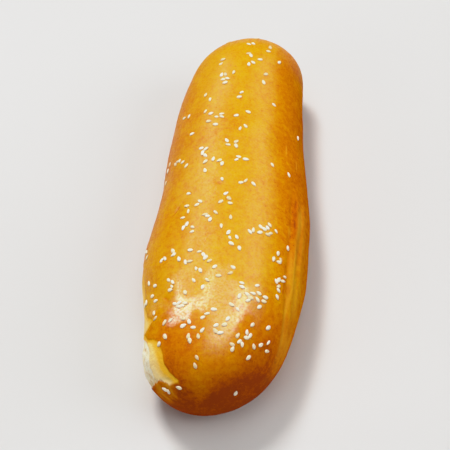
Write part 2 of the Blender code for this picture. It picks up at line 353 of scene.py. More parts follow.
# Where the egg wash is dull: how much, and the area. "uneven" is the share, moved to and fro by
# blotches of this size and strength; "far_edge" and "near_edge" are that, moved on in these areas.
GLAZE_BLOTCHES = ((0.014, 0.10), (0.005, 0.05))
FAR_EDGE_AREAS = ((0.10, ("fade", "turn", 90, 102)), (0.05, ("fade", "turn", 80, 70)))
NEAR_EDGE_AREAS = ((0.05, ("fade", "turn", 122, 98)),)
DULL_AREAS = (
    # Beyond the near crown, at the near tip, down the right flank, and low down.
    (0.80, ("fade", "far_edge", -0.54, -0.48)),
    (1.00, ("fade", "share", -0.82, -0.91)),
    (1.00, ("fade", "turn", 60, 46)),
    (0.94, ("fade", "height", 0.90, 0.62)),
    # On the left, above the tear's far half.
    (
        0.85,
        ("fade", "turn", 108, 118),
        ("fade", "uneven", -0.56, -0.50),
        ("fade", "share", -0.05, -0.25),
    ),
    # At the near end: on both sides of the crown, and again further down them.
    (0.90, ("fade", "turn", 84, 92), ("fade", "uneven", -0.69, -0.73)),
    (0.90, ("fade", "turn", 70, 62), ("fade", "uneven", -0.69, -0.73)),
    (0.90, ("fade", "turn", 98, 112), ("fade", "near_edge", -0.67, -0.72)),
    (0.90, ("fade", "turn", 76, 62), ("fade", "near_edge", -0.67, -0.72)),
)
# A dull dimple: how much, and the mark that it makes.
DIMPLE_DULLNESS = 0.90
DULL_DIMPLE = (-0.62, 128, 0.006, 0.007, 0)
# A weaker sheen on the upper left flank and the far end.
SHEEN = 0.42
LEFT_SHEEN = (
    ("fade", "turn", 125, 160),
    ("fade", "turn", 250, 200),
    ("fade", "share", -0.75, -0.45),
)
FAR_SHEEN = (("fade", "share", 0.70, 0.90),)
SHEEN_HEIGHT = (("fade", "height", 0.30, 0.60),)

# Heights between which the crust darkens down to the base, the near foot of the tear, the degrees
# over which its skin grows paler as it is peeled, partly as painted highlight, and skin that is baked
# golden: at the near foot, and by the crust.
UNDER_HEIGHTS = (0.004, 0.0005)
NEAR_FOOT = (("fade", "share", -0.85, -0.93),)
PEELED_TURN = 30.0
GOLDEN_AREAS = (
    (1.0, ("fade", "share", -0.84, -0.92), ("fade", "past", 18.0, 8.0)),
    (0.7, ("fade", "past", 11.0, 4.0)),
)
# From this share of crumb and skin on, the mesh is torn bread.
BARE_SHARE = 0.5

# A finer seed than the part's: sides, belts, how full it is towards top and foot, and how much
# single seeds differ in width and tone.
SEED_FACETS = 12
SEED_BELTS = 6
SEED_FULLNESS = 0.85
SEED_WIDTH_SPREAD = 0.08
TONE_DRAW = 7

# Sockets of a mix, which have the same names for colours as for numbers, and the tone curve that
# is for all colours at once.
FIRST_COLOUR = 6
SECOND_COLOUR = 7
MIXED_COLOUR = 2
ALL_COLOURS = 3

# Linear colours, by place along the value that they show.
CRUST_STOPS = (
    (0.00, (0.78, 0.50, 0.030)),
    (0.22, (0.75, 0.430, 0.003)),
    (0.45, (0.70, 0.330, 0.001)),
    (0.62, (0.64, 0.210, 0.001)),
    (0.78, (0.57, 0.132, 0.001)),
    (0.90, (0.45, 0.078, 0.003)),
    (1.00, (0.34, 0.052, 0.006)),
)
CRUMB_STOPS = (
    (0.00, (0.80, 0.58, 0.270)),
    (0.45, (0.97, 0.86, 0.600)),
    (1.00, (0.98, 0.92, 0.740)),
)
# The skin's paler stops are partly its own paler colour and partly painted highlight.
SKIN_STOPS = (
    (0.00, (0.93, 0.50, 0.008)),
    (0.40, (0.98, 0.63, 0.120)),
    (1.00, (0.99, 0.76, 0.320)),
)
SEED_STOPS = (
    (0.00, (0.95, 0.89, 0.70)),
    (0.75, (0.90, 0.79, 0.54)),
    (1.00, (0.80, 0.62, 0.34)),
)
FLOOR_STOPS = (
    (0.3, (0.70, 0.69, 0.675)),
    (0.7, (0.73, 0.72, 0.705)),
)
PALE_COLOUR = (0.78, 0.37, 0.020)
TOASTED_COLOUR = (0.62, 0.38, 0.14)
# Painted shadow: the dark brown at each seed's foot, where it meets the crust.
SEED_FOOT_SHADOW_COLOUR = (0.42, 0.20, 0.04)

# What those values are made of: an even part, values stored in the mesh by name and strength, and
# grains by size, detail and strength.
BROWN_EVEN = -0.47
# Painted shade in the creases browns the crust there.
BROWN_STORED = (("brown", 1.0), ("pale", -0.14), ("crease_shade", 0.22), ("under", 0.18))
BROWN_GRAINS = ((0.0110, 3.0, 0.24), (0.0028, 4.0, 0.44), (0.0011, 2.0, 0.26))
SKIN_EVEN = -0.12
# Peeled skin turns paler: partly its own colour, partly painted highlight.
SKIN_STORED = (("strand", 0.45), ("peeled_and_highlight", 0.80), ("golden", -0.50))
SKIN_GRAINS = ((0.0030, 3.0, 0.45),)
CRUMB_STORED = (("strand", 0.4), ("tear_foot", -0.30))
CRUMB_GRAINS = ((0.0030, 4.0, 1.0),)
CRUMB_RANGE = (0.35, 0.95)
SEED_EVEN = -0.15
SEED_STORED = (("tone", 1.0),)
SEED_GRAINS = ((0.0012, 2.0, 0.3),)
FLOOR_GRAIN = (0.35, 2.0)
# Dark specks in the crust: their grain, the range of it that shows them, and how brown they are.
SPECK_GRAIN = (0.0011, 2.0)
SPECK_RANGE = (0.66, 0.74)
SPECK_BROWN = 0.16
# How much the pale colour covers, and the ranges of stored values at which one look gives way to
# the next. Where there are four numbers, the last two are what the range turns into.
PALE_COVER = 0.55
SKIN_RANGE = (0.05, 0.85)
BARE_RANGE = (0.1, 0.8)
TOASTED_RANGE = (0.80, 1.0, 0.0, 0.45)
# Below this range of a seed's height the painted shadow at its foot is full, and above it gone.
SEED_FOOT_SHADOW_RANGE = (0.45, 0.66, 1.0, 0.0)

# Gloss: the crust's roughness, even and in grains; its egg wash's grain and range, roughness and
# index of refraction; and the roughness and specular level of the other materials.
CRUST_ROUGHNESS = 0.50
ROUGHNESS_GRAINS = ((0.0040, 3.0, 0.16),)
WASH_GRAIN = (0.0013, 4.0)
WASH_RANGE = (0.36, 0.62, 0.40, 1.25)
WASH_ROUGHNESS = 0.33
WASH_IOR = 1.8
TORN_ROUGHNESS = 0.78
TORN_SPECULAR = 0.3
SEED_ROUGHNESS = 0.34
SEED_SPECULAR = 0.5
FLOOR_ROUGHNESS = 0.65
FLOOR_SPECULAR = 0.2

# The finest relief, too fine for the mesh: size, detail and height.
CRUST_BUMPS = ((0.0014, 3.0, 0.00018), (0.0005, 2.0, 0.00009))
TORN_BUMPS = ((0.0022, 4.0, 0.0007), (0.0008, 3.0, 0.0003))
SEED_BUMPS = ((0.0006, 2.0, 0.00004),)
FLOOR_BUMPS = ((0.004, 2.0, 0.00003),)

# The floor reaches so far to each side.
FLOOR_REACH = 4.0

# Soft lights, oblong and aimed at the bun's middle. Softboxes are seen in its gloss alone: name,
# direction, width and height, power, and roll in degrees.
SOFTBOX_DISTANCE = 1.5
SOFTBOXES = (
    ("left_softbox", (-0.41, 0.59, 0.69), (0.30, 0.90), 7.4, 0.0),
    ("right_softbox", (0.43, 0.61, 0.66), (0.34, 0.80), 5.0, 0.0),
    ("near_left_softbox", (-0.70, 0.37, 0.60), (0.36, 0.84), 11.5, 18.0),
    ("near_right_softbox", (0.50, 0.30, 0.81), (0.34, 0.36), 5.2, 0.0),
    ("top_softbox", (-0.06, 0.38, 0.92), (0.80, 0.36), 1.5, 0.0),
    ("front_softbox", (0.24, 0.00, 0.97), (0.50, 0.60), 4.2, 0.0),
)
# Lamps light it evenly and aren't seen in its gloss.
LAMP_DISTANCE = 1.6
LAMPS = (
    ("key", (-0.26, 0.40, 0.88), (0.40, 0.40), 16.0, 0.0),
    ("ceiling", (0.0, 0.0, 1.0), (1.4, 1.4), 10.0, 0.0),
    ("right_fill", (0.80, -0.10, 0.55), (1.0, 1.0), 10.0, 0.0),
    ("left_fill", (-0.75, -0.60, 0.28), (1.0, 1.0), 5.2, 0.0),
)
ROOM_COLOUR = (1.0, 1.0, 1.0, 1.0)
ROOM_LIGHT = 0.03

# Tones: light in the scene and light shown, up to where the shown light is full.
SHOULDER = ((0.45, 0.45), (0.78, 0.77), (1.00, 0.85), (1.40, 0.94), (2.20, 1.00))

# Camera: where it stands, how it is turned in the photograph, the nearest that it sees, its sensor
# and lens in millimetres, how much larger the bun is shown here, and what it is centred on.
CAMERA_AT = (0.0725, -0.3591, 0.5294)
CAMERA_TILT = math.radians(31.014)
CAMERA_TURN = math.radians(3.64)
NEAREST_SEEN = 0.01
SENSOR = 36.0
PHOTO_LENS = 48.0
ENLARGED = 1.65
CAMERA_AIM = (-0.0034, -0.0120, 0.030)


def smooth(edge_0, edge_1, value):
    """0 before edge_0, 1 after edge_1, smooth between."""
    x = np.clip((value - edge_0) / (edge_1 - edge_0), 0.0, 1.0)
    return x * x * (3.0 - 2.0 * x)


def band(middle, reach, value):
    """1 at the middle, falling off smoothly to both sides."""
    return np.exp(-(((value - middle) / reach) ** 2))


def swell(share, bellies):
    """How far one side stands out."""
    return sum(height * band(middle, spread, share) for height, middle, spread in bellies)


def cap(share):
    """How far the section shrinks towards the rounded ends: 1 along the body, 0 at the tips."""
    reach = np.where(share < 0, NEAR_CAP, FAR_CAP)
    into = np.clip((np.abs(share) - 1.0 + reach) / reach, 0.0, 1.0)
    return np.sqrt(1.0 - into**CAP_ROUNDNESS)


def body(share, turn):
    """The smooth bun: points for arrays of shares along it and turns round it."""
    cosine = np.cos(np.radians(turn))
    sine = np.sin(np.radians(turn))
    shrink = cap(share)
    half_width = MID_WIDTH / 2 * (1 + WIDTH_ROUNDING * share**2)
    rightness = smooth(-FLANK_BLEND, FLANK_BLEND, cosine)
    half_width = half_width + (1.0 - rightness) * swell(share, LEFT_BELLIES)
    half_width = half_width + rightness * swell(share, RIGHT_BELLIES)
    above = (HEIGHT - AXIS_HEIGHT) * (1 + HEIGHT_ROUNDING * share**2)
    reach = np.where(sine > 0, above, AXIS_HEIGHT + BASE_SINK)
    x = S_BEND * (share**3 - S_BEND_RETURN * share) + half_width * shrink * cosine
    y = LENGTH / 2 * share
    z = AXIS_HEIGHT + reach * shrink**CAP_DROP * sine
    return np.stack([x, y, z], axis=-1)


def base_edge(share):
    """The turn, past 180, at which the smooth bun comes down to its base."""
    depth = (AXIS_HEIGHT + BASE_SINK) * np.maximum(cap(share), LEAST_CAP) ** CAP_DROP
    return 180.0 + np.degrees(np.arcsin(np.clip(AXIS_HEIGHT / depth, 0.0, GREATEST_SINE)))


def outward(share, turn):
    """Unit normals of the smooth bun, by differences along and round it."""
    inside = np.clip(share, SHARE_STEP - 1.0, 1.0 - SHARE_STEP)
    along = body(inside + SHARE_STEP, turn) - body(inside - SHARE_STEP, turn)
    around = body(inside, turn + TURN_STEP) - body(inside, turn - TURN_STEP)
    normal = np.cross(along, around)
    return normal / np.linalg.norm(normal, axis=-1, keepdims=True)


def distance_from(points, share, turn):
    """How far the points are from a place on the smooth bun."""
    return np.linalg.norm(points - body(np.array(share), np.array(float(turn))), axis=-1)


def lumps(points, size, pick):
    """Smooth noise from -1 to 1 at the points, with features of that size."""
    shift = Vector([step * pick for step in NOISE_SHIFT])
    flat = points.reshape(-1, 3)
    values = [noise.noise(Vector(p) / size + shift) for p in flat]
    return np.array(values).reshape(points.shape[:-1])


def layers(points, table, pick):
    """Noise of several sizes laid over one another: the table has their sizes and strengths."""
    return sum(
        strength * lumps(points, size, pick + k) for k, (size, strength) in enumerate(table)
    )


def strands(across, share, pitch, run, pick):
    """Noise drawn out along the bun: `across` in degrees of turn, `run` a share of the length."""
    points = np.stack([across / pitch, share / run, np.zeros_like(share)], axis=-1)
    return lumps(points, 1.0, pick)


def ragged_turn(turn, points):
    """The turn, moved to and fro so that the edges of the tear are ragged."""
    return turn + RAGGED_TURN * lumps(points, RAGGED_SIZE, RAGGED_NOISE)


def tear_turns(share):
    """The turns where the crust ends, and where bare crumb begins and ends."""
    stations = np.array(TEAR, float)
    return [np.interp(share, stations[:, 0], stations[:, column]) for column in (1, 2, 3)]


def tear_open(share):
    """How fully the tear is open, from 0 to 1."""
    near, far = TEAR[0][0], TEAR[-1][0]
    return smooth(near - TEAR_FADE, near, share) * smooth(far + TEAR_FADE, far, share)


def tear_masks(share, turn, points):
    """Shares of bare crumb and of thin skin, from 0 to 1, with ragged edges."""
    ragged = ragged_turn(turn, points)
    crust_end, crumb_top, crumb_low = tear_turns(share)
    opened = smooth(crumb_low + TEAR_EDGE, crumb_low, ragged) * tear_open(share)
    crumb = smooth(crumb_top, crumb_top + TEAR_EDGE, ragged) * opened
    skin = smooth(crust_end - TEAR_EDGE / 2, crust_end + TEAR_EDGE / 2, ragged) * opened
    return crumb, np.clip(skin - crumb, 0.0, 1.0)


def past_crust(share, turn, points):
    """Degrees of turn past the crust's torn edge."""
    return ragged_turn(turn, points) - tear_turns(share)[0]


def across_folds(share, turn):
    """Degrees of turn from the middle of the right flank's folds, which come down at the near end."""
    return turn - FOLD_TURN + FOLD_FALL * smooth(*FOLD_FALL_SHARES, share)


def fold_band(share, turn):
    """Where the right flank is folded, from 0 to 1, and the turn across the folds."""
    across = across_folds(share, turn)
    inside = smooth(-FOLD_REACH, -FOLD_REACH / 2, across) * smooth(FOLD_REACH, FOLD_REACH / 2, across)
    start, end = FOLD_SPAN
    span = smooth(start, start + FOLD_FADE, share) * smooth(end, end - FOLD_FADE, share)
    return inside * span, across


def folds(share, turn):
    """The stretch folds of the right flank: long low ridges, fading out at their ends."""
    folded, across = fold_band(share, turn)
    wander = FOLD_WANDER * np.sin(FOLD_WANDER_RATE * share)
    return folded * np.cos(2 * math.pi * across / FOLD_PITCH + wander)


def mark(share, turn, middle, heading, half_length, half_width, tilt):
    """A soft streak on the crust, from 0 to 1, lying along the bun but for its tilt."""
    along = (share - middle) * LENGTH / 2
    aside = (turn - heading) * DEGREE
    cosine = math.cos(math.radians(tilt))
    sine = math.sin(math.radians(tilt))
    u = along * cosine + aside * sine
    v = aside * cosine - along * sine
    return np.exp(-((u / half_length) ** 2) - (v / half_width) ** 2)


def fine_relief(share, turn, points, crumb, skin):
    """What the part leaves out: orange-peel, wrinkles, creases, shreds, skin strands and pores."""
    whole = 1.0 - np.clip(crumb + skin, 0.0, 1.0)
    relief = layers(points, PEEL, PEEL_NOISE) * (1.0 - crumb)
    folded, across = fold_band(share, turn)
    wrinkles = strands(across, share, STRAND_PITCH, STRAND_RUN, FOLD_NOISE)
    relief = relief + STRAND_HEIGHT * folded * wrinkles
    for *place, height in CREASES + SHREDS:
        relief = relief + height * mark(share, turn, *place) * whole
    middle, heading, pitch, reach, height = RINGED_DIMPLE
    away = distance_from(points, middle, heading)
    relief = relief + height * np.cos(2 * math.pi * away / pitch) * band(0.0, reach, away)
    past = past_crust(share, turn, points)
    relief = relief + LIP_HEIGHT * tear_open(share) * band(-LIP_TURN, LIP_TURN, past)
    torn = strands(past, share, SKIN_STRAND_PITCH, SKIN_STRAND_RUN, SKIN_NOISE)
    relief = relief + SKIN_STRAND_HEIGHT * torn * (skin + CRUMB_STRANDS * crumb)
    for k, (size, depth) in enumerate(PORES):
        relief = relief - depth * crumb * np.abs(lumps(points, size, PORE_NOISE + k))
    return relief


def surface(share, turn, fine=True):
    """Points of the crust, cut off flat at the base, and its shares of crumb and skin."""
    points = body(share, turn)
    crumb, skin = tear_masks(share, turn, points)
    relief = LUMP_HEIGHT * lumps(points, LUMP_SIZE, LUMP_NOISE)
    relief = relief + FOLD_HEIGHT * folds(share, turn)
    relief = relief - SKIN_DEPTH * skin - CRUMB_DEPTH * crumb
    relief = relief + CRUMB_ROUGHNESS * crumb * lumps(points, CRUMB_GRAIN, CRUMB_NOISE)
    for middle, heading, radius, depth in DIMPLES:
        relief = relief - depth * band(0.0, radius, distance_from(points, middle, heading))
    if fine:
        relief = relief + fine_relief(share, turn, points, crumb, skin)
    relief = relief * smooth(0.0, TIP_FADE, LENGTH / 2 * (1.0 - np.abs(share)))
    relief = relief * smooth(0.0, BASE_FADE, points[..., 2])
    points = points + relief[..., None] * outward(share, turn)
    points[..., 2] = np.maximum(points[..., 2], 0.0)
    return points, crumb, skin


def ring_shares():
    """Shares of the rings: even along the body, and closer and closer towards the tips."""
    steps = np.linspace(-1.0, 1.0, RINGS + 1)
    between = (steps[1:] + steps[:-1]) / 2
    pace = np.clip((1.0 - np.abs(between)) / TIP_RINGS, 0.0, 1.0) ** TIP_CROWDING
    run = np.concatenate([[0.0], np.cumsum(pace)])
    return (2.0 * run / run[-1] - 1.0)[1:-1]


def grid():
    """Shares and turns of the crust's points, ring by ring, with two columns on the base's edge."""
    shares = ring_shares()
    turns = np.concatenate([np.linspace(*span, endpoint=False) for span in COLUMNS])
    share, turn = np.meshgrid(shares, turns, indexing="ij")
    left, left_edge, right_edge, right = UNDERSIDE
    for row, edge in enumerate(base_edge(shares)):
        nominal = (turns[0], left, left_edge, right_edge, right)
        moved = (turns[0], left, edge, 2 * BASE_TURN - edge, right)
        turn[row] = np.interp(turns, nominal, moved)
    return share, turn


def crust_faces(rows, sides):
    """Faces between the rings, and from the end rings to the tips, whose points come last."""
    index = np.arange(rows * sides).reshape(rows, sides)
    after = np.roll(index, -1, axis=1)
    quads = np.stack([index[1:], after[1:], after[:-1], index[:-1]], axis=-1).reshape(-1, 4)
    near, far = rows * sides, rows * sides + 1
    faces = quads.tolist()
    faces += [(int(index[0, k]), int(after[0, k]), near) for k in range(sides)]
    faces += [(int(after[-1, k]), int(index[-1, k]), far) for k in range(sides)]
    return faces


def places(share, turn, points):
    """What fades and bands run along, at those points of the crust."""
    return {
        "share": share,
        "turn": turn,
        "side": np.where(turn > BASE_TURN, turn - 360.0, turn),
        "height": points[..., 2] / HEIGHT,
        "across": across_folds(share, turn),
        "past": past_crust(share, turn, body(share, turn)),
    }


def area(place, bounds):
    """A soft-edged area, from 0 to 1: the product of its fades and bands."""
    covered = 1.0
    for kind, along, first, second in bounds:
        bound = band if kind == "band" else smooth
        covered = covered * bound(first, second, place[along])
    return covered


def areas(place, table):
    """The sum of a table's areas, each by its strength."""
    return sum(strength * area(place, bounds) for strength, *bounds in table)


def fibres(across, share, even, strength, least, pitch, run, pick):
    """Fibres drawn out along the bun, about an even level."""
    return even + strength * np.clip(strands(across, share, pitch, run, pick), least, 1.0)


def browning(place, points):
    """How brown the crust is, from 0, pale gold, to 1, dark brown: mostly its baked colour, with
    painted shade on the right flank and painted light on the left of the near end.
    """
    brown = BROWN_LEVEL + areas(place, BROWN_AREAS) + layers(points, BROWN_BLOTCHES, BROWN_NOISE)
    return np.clip(brown, 0.0, 1.0)


def paleness(place):
    """How far the crust is stretched pale: on the right flank's flap, at the torn foot, in shreds."""
    share, turn = place["share"], place["turn"]
    pale = area(place, FLAP) * fibres(place["across"], share, *FLAP_FIBRES)
    pale = pale + area(place, TORN_FOOT) * fibres(turn, share, *FOOT_FIBRES)
    for *streak, _ in SHREDS:
        pale = pale + SHRED_PALENESS * mark(share, turn, *streak)
    return np.clip(pale, 0.0, 1.0)


def painted_crease_shade(place):
    """Painted shade, from 0 to 1, in the crust's creases: the short ones, and the long one beside the
    flap.
    """
    share, turn = place["share"], place["turn"]
    sunken = sum(mark(share, turn, *streak) for *streak, _ in CREASES)
    shade = area(place, FLAP_SHADE) * fibres(place["across"], share, *SHADE_FIBRES)
    return np.clip(sunken + shade, 0.0, 1.0)


def glazing(place, points):
    """How glossy the egg wash is, from 0 to 1."""
    uneven = place["share"] + layers(points, GLAZE_BLOTCHES, GLAZE_NOISE)
    far_edge = uneven + areas(place, FAR_EDGE_AREAS)
    near_edge = uneven + areas(place, NEAR_EDGE_AREAS)
    place = {**place, "uneven": uneven, "far_edge": far_edge, "near_edge": near_edge}
    glaze = 1.0 - DIMPLE_DULLNESS * mark(place["share"], place["turn"], *DULL_DIMPLE)
    for dullness, *bounds in DULL_AREAS:
        glaze = glaze * (1.0 - dullness * area(place, bounds))
    sheen = np.maximum(area(place, LEFT_SHEEN), area(place, FAR_SHEEN))
    return np.maximum(glaze, SHEEN * sheen * area(place, SHEEN_HEIGHT))


def crust_values(share, turn, rings, crumb, skin):
    """What the crust's materials read: a value at each point, by name."""
    flat = body(share, turn)
    place = places(share, turn, flat)
    past = place["past"]
    torn = strands(past, share, SKIN_STRAND_PITCH, SKIN_STRAND_RUN, SKIN_NOISE)
    return {
        "crumb": crumb,
        "skin": skin,
        "brown": browning(places(share, turn, rings), rings),
        "pale": paleness(place),
        # Painted shade in the creases.
        "crease_shade": painted_crease_shade(place),
        "strand": 0.5 + 0.5 * torn,
        # Paler skin away from the crust: partly its own colour, partly painted highlight.
        "peeled_and_highlight": np.clip(past / PEELED_TURN, 0.0, 1.0),
        "glaze": glazing(place, flat),
        "under": smooth(*UNDER_HEIGHTS, rings[..., 2]),
        "tear_foot": area(place, NEAR_FOOT),
        "golden": areas(place, GOLDEN_AREAS),
    }


def set_values(mesh, name, values):
    """Stores a number for each point of the mesh, for its material."""
    layer = mesh.attributes.new(name, "FLOAT", "POINT")
    layer.data.foreach_set("value", np.asarray(values, np.float32).ravel())


def stored_values(mesh, name):
    """The numbers that the mesh stores by that name."""
    values = np.zeros(len(mesh.vertices), np.float32)
    mesh.attributes[name].data.foreach_get("value", values)
    return values


def crust_mesh():
    """The crust as rings from tip to tip, with the values that its materials read."""
    share, turn = grid()
    rings, crumb, skin = surface(share, turn)
    tips, _, _ = surface(np.array([-TIP, TIP]), np.array([90.0, 90.0]))
    points = np.concatenate([rings.reshape(-1, 3), tips])
    mesh = bpy.data.meshes.new("crust")
    mesh.from_pydata(points.tolist(), [], crust_faces(*share.shape))
    for name, value in crust_values(share, turn, rings, crumb, skin).items():
        set_values(mesh, name, np.concatenate([value.ravel(), value[0, :1], value[-1, :1]]))
    mesh.shade_smooth()
    return mesh


def seed_weight(share, turn):
    """How thickly the seeds lie there, from 0 to 1."""
    weight = np.interp(share, *zip(*SEEDS_ALONG)) * np.interp(turn, *zip(*SEEDS_ROUND))
    bare = smooth(*BARE_ACROSS, across_folds(share, turn)) * smooth(*BARE_SHARES, share)
    return weight * (1.0 - bare)


def seed_places():
    """Every seed as (share, turn, heading, size), drawn at random, singly and in small groups."""
    draw = random.Random(SEED_DRAW)
    settled = []
    spots = []
    near, far = SEEDS_ALONG[0][0], SEEDS_ALONG[-1][0]
    low, high = SEEDS_ROUND[0][0], SEEDS_ROUND[-1][0]

    def settle(share, turn):
        """Adds a seed there, if the crust is whole and free."""
        if not (near < share < far and low < turn < high):
            return
        if seed_weight(share, turn) < LEAST_WEIGHT:
            return
        spot = Vector(body(np.array(share), np.array(turn)))
        if any((spot - other).length < SEED_SPACING for other in spots):
            return
        crumb, skin = tear_masks(np.array(share), np.array(turn), np.array(spot))
        if crumb + skin > MOST_TORN:
            return
        spots.append(spot)
        settled.append((share, turn, draw.uniform(0.0, 360.0), draw.gauss(1.0, SEED_SIZE_SPREAD)))

    while len(settled) < SEED_COUNT:
        share = draw.uniform(near, far)
        turn = draw.uniform(low, high)
        if draw.random() > seed_weight(share, turn):
            continue
        settle(share, turn)
        for _ in range(draw.choice(GROUP_EXTRAS)):
            settle(share + draw.gauss(0.0, GROUP_SHARE), turn + draw.gauss(0.0, GROUP_TURN))
    return settled


def seed_form():
    """One seed: a flat drop, blunt at -X and pointed at +X. Its points and its faces."""
    points = [(0.0, 0.0, SEED_THICKNESS / 2)]
    for belt in range(1, SEED_BELTS + 1):
        fall = math.pi * belt / (SEED_BELTS + 1)
        girth = math.sin(fall) ** SEED_FULLNESS
        for k in range(SEED_FACETS):
            angle = 2 * math.pi * (k + 0.5) / SEED_FACETS
            slim = 1.0 - SEED_POINT * (0.5 + 0.5 * math.cos(angle)) ** 2
            x = SEED_LENGTH / 2 * girth * math.cos(angle)
            y = SEED_WIDTH / 2 * girth * slim * math.sin(angle)
            points.append((x, y, SEED_THICKNESS / 2 * math.cos(fall)))
    points.append((0.0, 0.0, -SEED_THICKNESS / 2))
    foot = len(points) - 1
    last = foot - SEED_FACETS
    faces = []
    for k in range(SEED_FACETS):
        after = (k + 1) % SEED_FACETS
        faces.append((0, 1 + k, 1 + after))
        for upper in range(1, last, SEED_FACETS):
            lower = upper + SEED_FACETS
            faces.append((upper + k, lower + k, lower + after, upper + after))
        faces.append((foot, last + after, last + k))
    return points, faces


def seed_matrix(crust, share, turn, heading, size):
    """Where a seed lies: flat on the crust, sunk by part of its thickness."""
    above, _, _ = surface(np.array([share]), np.array([turn]), fine=False)
    centre, up, _, _ = crust.find_nearest(Vector(above[0]))
    lift = (0.5 - SEED_SUNK) * SEED_THICKNESS * size
    turned = up.to_track_quat("Z", "Y").to_matrix().to_4x4()
    spin = Matrix.Rotation(math.radians(heading), 4, "Z")
    return Matrix.Translation(centre + up * lift) @ turned @ spin @ Matrix.Scale(size, 4)


def seeds_mesh(crust):
    """All the seeds as one mesh, each with its own tone."""
    draw = random.Random(TONE_DRAW)
    shape, shape_faces = seed_form()
    tree = BVHTree.FromPolygons(
        [vertex.co for vertex in crust.vertices], [face.vertices for face in crust.polygons]
    )
    points = []
    faces = []
    tones = []
    settled = seed_places()
    for place in settled:
        matrix = seed_matrix(tree, *place)
        wide = draw.gauss(1.0, SEED_WIDTH_SPREAD)
        tone = draw.random()
        first = len(points)
        points += [matrix @ Vector((x, y * wide, z)) for x, y, z in shape]
        faces += [tuple(first + corner for corner in face) for face in shape_faces]
        tones += [tone] * len(shape)
    mesh = bpy.data.meshes.new("sesame_seeds")
    mesh.from_pydata(points, [], faces)
    set_values(mesh, "tone", tones)
    set_values(mesh, "tip", [x / SEED_LENGTH + 0.5 for x, _, _ in shape] * len(settled))
    # Each point's height in its seed, which places the painted shadow at the foot.
    set_values(mesh, "top", [z / SEED_THICKNESS + 0.5 for _, _, z in shape] * len(settled))
    mesh.shade_smooth()
    return mesh


class Tree:
    """A material's nodes, added and linked by short calls."""

    def __init__(self, name):
        self.material = bpy.data.materials.new(name)
        self.material.use_nodes = True
        self.nodes = self.material.node_tree.nodes
        self.links = self.material.node_tree.links
        self.shader = self.nodes["Principled BSDF"]

    def feed(self, socket, value):
        """Links the value if it is another node's output, and sets it if not."""
        if isinstance(value, bpy.types.NodeSocket):
            self.links.new(value, socket)
        else:
            socket.default_value = value

    def stored(self, name):
        """A value that the mesh stores at its points."""
        node = self.nodes.new("ShaderNodeAttribute")
        node.attribute_name = name
        return node.outputs["Fac"]

    def grain(self, size, detail):
        """Noise from 0 to 1 in the bun's own space, with features of that size."""
        place = self.nodes.new("ShaderNodeTexCoord").outputs["Object"]
        node = self.nodes.new("ShaderNodeTexNoise")
        self.links.new(place, node.inputs["Vector"])
        node.inputs["Scale"].default_value = 1.0 / size
        node.inputs["Detail"].default_value = detail
        return node.outputs["Fac"]

    def sum(self, first, second, factor):
        """first + second * factor."""
        node = self.nodes.new("ShaderNodeMath")
        node.operation = "MULTIPLY_ADD"
        self.feed(node.inputs[0], second)
        self.feed(node.inputs[1], factor)
        self.feed(node.inputs[2], first)
        return node.outputs[0]

    def total(self, even, stored, grains):
        """An even part, with stored values and grains added, each by its strength."""
        value = even
        for name, strength in stored:
            value = self.sum(value, self.stored(name), strength)
        for size, detail, strength in grains:
            value = self.sum(value, self.grain(size, detail), strength)
        return value

    def times(self, first, second):
        """The product of the two."""
        node = self.nodes.new("ShaderNodeMath")
        node.operation = "MULTIPLY"
        self.feed(node.inputs[0], first)
        self.feed(node.inputs[1], second)
        return node.outputs[0]

    def between(self, value, low, high, start=0.0, end=1.0):
        """The value from low..high moved to start..end, smooth and clamped."""
        node = self.nodes.new("ShaderNodeMapRange")
        node.interpolation_type = "SMOOTHSTEP"
        self.feed(node.inputs["Value"], value)
        for name, number in zip(("From Min", "From Max", "To Min", "To Max"), (low, high, start, end)):
            node.inputs[name].default_value = number
        return node.outputs["Result"]

    def ramp(self, value, stops):
        """A colour for the value: stops are (place, linear colour)."""
        node = self.nodes.new("ShaderNodeValToRGB")
        self.feed(node.inputs["Fac"], value)
        elements = node.color_ramp.elements
        while len(elements) < len(stops):
            elements.new(1.0)
        for element, (place, colour) in zip(elements, stops):
            element.position = place
            element.color = (*colour, 1.0)
        return node.outputs["Color"]

    def mix(self, share, first, second):
        """first where the share is 0, second where it is 1."""
        node = self.nodes.new("ShaderNodeMix")
        node.data_type = "RGBA"
        self.feed(node.inputs["Factor"], share)
        for socket, value in ((FIRST_COLOUR, first), (SECOND_COLOUR, second)):
            if isinstance(value, tuple):
                value = (*value, 1.0)
            self.feed(node.inputs[socket], value)
        return node.outputs[MIXED_COLOUR]

    def bumps(self, table):
        """Normals for grains laid over one another, each by its size, detail and height."""
        normal = None
        for size, detail, height in table:
            node = self.nodes.new("ShaderNodeBump")
            node.inputs["Strength"].default_value = 1.0
            node.inputs["Distance"].default_value = height
            self.feed(node.inputs["Height"], self.grain(size, detail))
            if normal is not None:
                self.links.new(normal, node.inputs["Normal"])
            normal = node.outputs["Normal"]
        return normal

    def finish(self, colour, roughness, bumps, **settings):
        """Sets the shader: colour, roughness and fine relief, and its other sockets by name."""
        self.feed(self.shader.inputs["Base Color"], colour)
        self.feed(self.shader.inputs["Roughness"], roughness)
        self.links.new(self.bumps(bumps), self.shader.inputs["Normal"])
        for name, value in settings.items():
            self.feed(self.shader.inputs[name.replace("_", " ")], value)
        return self.material


